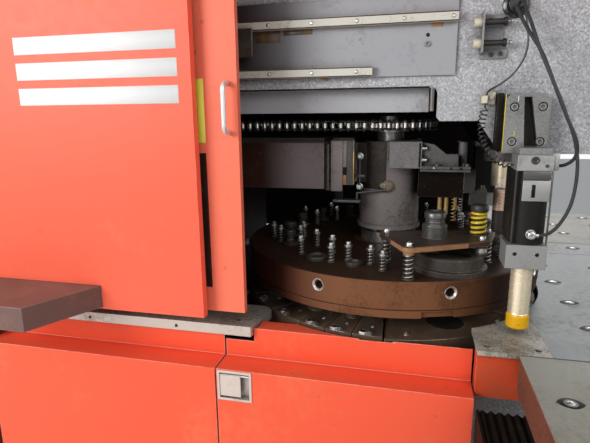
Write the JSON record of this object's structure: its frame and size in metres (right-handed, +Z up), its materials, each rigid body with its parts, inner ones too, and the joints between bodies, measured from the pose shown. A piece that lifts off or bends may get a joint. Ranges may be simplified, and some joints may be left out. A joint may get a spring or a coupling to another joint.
{
  "type": "cnc turret punch press",
  "caption": "C-frame CNC turret punch press with chain-driven twin turrets, sliding guard door, hinged covers, ball-transfer tables and a sheet-clamp carriage.",
  "frame": {"origin": "on the floor, at the centre of the machine's bounding box", "axes": "+Z up, +X out of the throat towards the table end, -Y the side with the sliding guard door"},
  "size_m": [3, 2.5, 2.05],
  "materials": {
    "coral_paint": "satin coral-red enamel, scuffed at the edges",
    "frame_paint": "dark grey hammertone enamel",
    "table_paint": "blue-grey enamel with dusty grime",
    "insert_paint": "olive-grey plate, dusty",
    "shelf_paint": "dark brown-grey enamel",
    "track_paint": "smooth dark grey enamel",
    "deck_steel": "ground steel, grimy on top",
    "bright_steel": "turned and ground steel, oiled",
    "dark_steel": "blackened steel with oil and dust",
    "chain_steel": "oiled roller chain",
    "rim_iron": "machined iron, rust brown",
    "grey_iron": "grey machined iron",
    "rail_cream": "greasy cream-coloured guide rail",
    "plate_rust": "reddish primer on steel",
    "brass": "gold-coloured hard coating",
    "yellow_paint": "yellow spring enamel",
    "aluminium": "milled aluminium",
    "window_tint": "smoke-tinted polycarbonate pane",
    "black_rubber": "satin black rubber",
    "grey_hose": "grey polyurethane hose",
    "cream_rubber": "cream polyurethane",
    "bellows_cloth": "pleated rubber-coated cloth"
  },
  "bodies": {
    "frame": {"main_frame": "frame_paint", "base_frame": "frame_paint", "levelling_feet": "bright_steel", "track_plate": "track_paint", "door_rails": "rail_cream", "bumper_bracket": "bright_steel", "door_bumpers": "cream_rubber", "front_side_panel": "coral_paint", "rear_housing": "coral_paint", "roof_cover": "coral_paint", "tool_shelf": "shelf_paint", "deck_plate": "deck_steel", "recess_panel": "coral_paint", "way_covers": "bellows_cloth", "table_insert": "insert_paint", "centre_table": "table_paint", "table_stand": "frame_paint", "drive_motors": "dark_steel", "ball_transfers": "bright_steel", "hub_housing": "grey_iron", "support_arm": "frame_paint", "index_drive": "grey_iron", "ram_cylinder": "grey_iron", "cylinder_barrels": "dark_steel", "cylinder_blocks": "aluminium", "cylinder_brackets": "dark_steel", "turret_chains": "chain_steel", "cable_fittings": "black_rubber", "air_hose_upper": "grey_hose", "air_hose_lower": "grey_hose", "sensor_cable": "black_rubber", "curly_cord": "black_rubber"},
    "door": {"sliding_door": "coral_paint", "door_window": "window_tint", "door_handle": "aluminium", "door_hangers": "dark_steel"},
    "left_cover": {"left_cover": "coral_paint"},
    "right_cover": {"right_cover": "coral_paint", "latch_dish": "bright_steel"},
    "latch_paddle": {"latch_paddle": "bright_steel"},
    "upper_turret": {"upper_turret": "rim_iron", "turret_shaft": "bright_steel", "punch_holders": "dark_steel", "lifter_springs": "dark_steel", "station_ring": "dark_steel", "station_plate": "plate_rust", "stripper_spring": "yellow_paint"},
    "lower_turret": {"lower_turret": "grey_iron", "die_holders": "dark_steel"},
    "drive_shaft": {"drive_shaft": "bright_steel"},
    "ram": {"ram": "brass"},
    "front_hold_down": {"front_hold_down": "brass"},
    "rear_hold_down": {"rear_hold_down": "brass"},
    "index_pins": {"index_pins": "bright_steel"},
    "carriage": {"carriage_beam": "frame_paint", "side_tables": "table_paint"},
    "y_ball_screw": {"y_ball_screw": "bright_steel"},
    "x_carriage": {"x_carriage": "grey_iron"},
    "front_jaw": {"clamp_jaw_front": "dark_steel"},
    "rear_jaw": {"clamp_jaw_rear": "dark_steel"}
  },
  "joints": [
    {"name": "door_slide", "type": "slide", "parent": "frame", "child": "door", "axis": [1, 0, 0], "range_m": [0, 0.57]},
    {"name": "left_cover_hinge", "type": "hinge", "parent": "frame", "child": "left_cover", "pos_m": [-1.388, -0.566, 0.45], "axis": [0, 0, -1], "range_deg": [0, 90]},
    {"name": "right_cover_hinge", "type": "hinge", "parent": "frame", "child": "right_cover", "pos_m": [0.036, -0.566, 0.45], "axis": [0, 0, 1], "range_deg": [0, 90]},
    {"name": "latch_paddle_hinge", "type": "hinge", "parent": "right_cover", "child": "latch_paddle", "pos_m": [-0.578, -0.574, 0.772], "axis": [-1, 0, 0], "range_deg": [0, 30]},
    {"name": "upper_turret_turn", "type": "hinge", "parent": "frame", "child": "upper_turret", "pos_m": [-0.2, 0, 1], "axis": [0, 0, 1], "continuous": true, "deforming": ["turret_chains"]},
    {"name": "lower_turret_turn", "type": "hinge", "parent": "frame", "child": "lower_turret", "pos_m": [-0.2, 0, 0.8], "axis": [0, 0, 1], "continuous": true},
    {"name": "drive_shaft_turn", "type": "hinge", "parent": "frame", "child": "drive_shaft", "pos_m": [-1.0636, 0, 1], "axis": [0, 0, 1], "continuous": true},
    {"name": "ram_slide", "type": "slide", "parent": "frame", "child": "ram", "axis": [0, 0, -1], "range_m": [0, 0.008]},
    {"name": "front_hold_down_slide", "type": "slide", "parent": "frame", "child": "front_hold_down", "axis": [0, 0, -1], "range_m": [0, 0.012]},
    {"name": "rear_hold_down_slide", "type": "slide", "parent": "frame", "child": "rear_hold_down", "axis": [0, 0, -1], "range_m": [0, 0.012]},
    {"name": "index_pin_slide", "type": "slide", "parent": "frame", "child": "index_pins", "axis": [0.9923, 0.1236, 0], "range_m": [0, 0.018]},
    {"name": "y_slide", "type": "slide", "parent": "frame", "child": "carriage", "axis": [1, 0, 0], "range_m": [-0.83, 0], "deforming": ["way_covers"]},
    {"name": "y_screw_turn", "type": "hinge", "parent": "frame", "child": "y_ball_screw", "pos_m": [1, 0, 0.645], "axis": [1, 0, 0], "continuous": true},
    {"name": "x_slide", "type": "slide", "parent": "carriage", "child": "x_carriage", "axis": [0, 1, 0], "range_m": [-0.5, 0.5]},
    {"name": "front_jaw_hinge", "type": "hinge", "parent": "x_carriage", "child": "front_jaw", "pos_m": [1.227, -0.4, 0.9585], "axis": [0, 1, 0], "range_deg": [0, 10]},
    {"name": "rear_jaw_hinge", "type": "hinge", "parent": "x_carriage", "child": "rear_jaw", "pos_m": [1.227, 0.4, 0.9585], "axis": [0, 1, 0], "range_deg": [0, 10]}
  ],
  "couplings": [
    {"joint": "lower_turret_turn", "follows": "upper_turret_turn", "ratio": 1},
    {"joint": "drive_shaft_turn", "follows": "upper_turret_turn", "ratio": 1},
    {"joint": "y_screw_turn", "follows": "y_slide", "rad_per_m": -251.33},
    {"joint": "rear_jaw_hinge", "follows": "front_jaw_hinge", "ratio": 1}
  ]
}
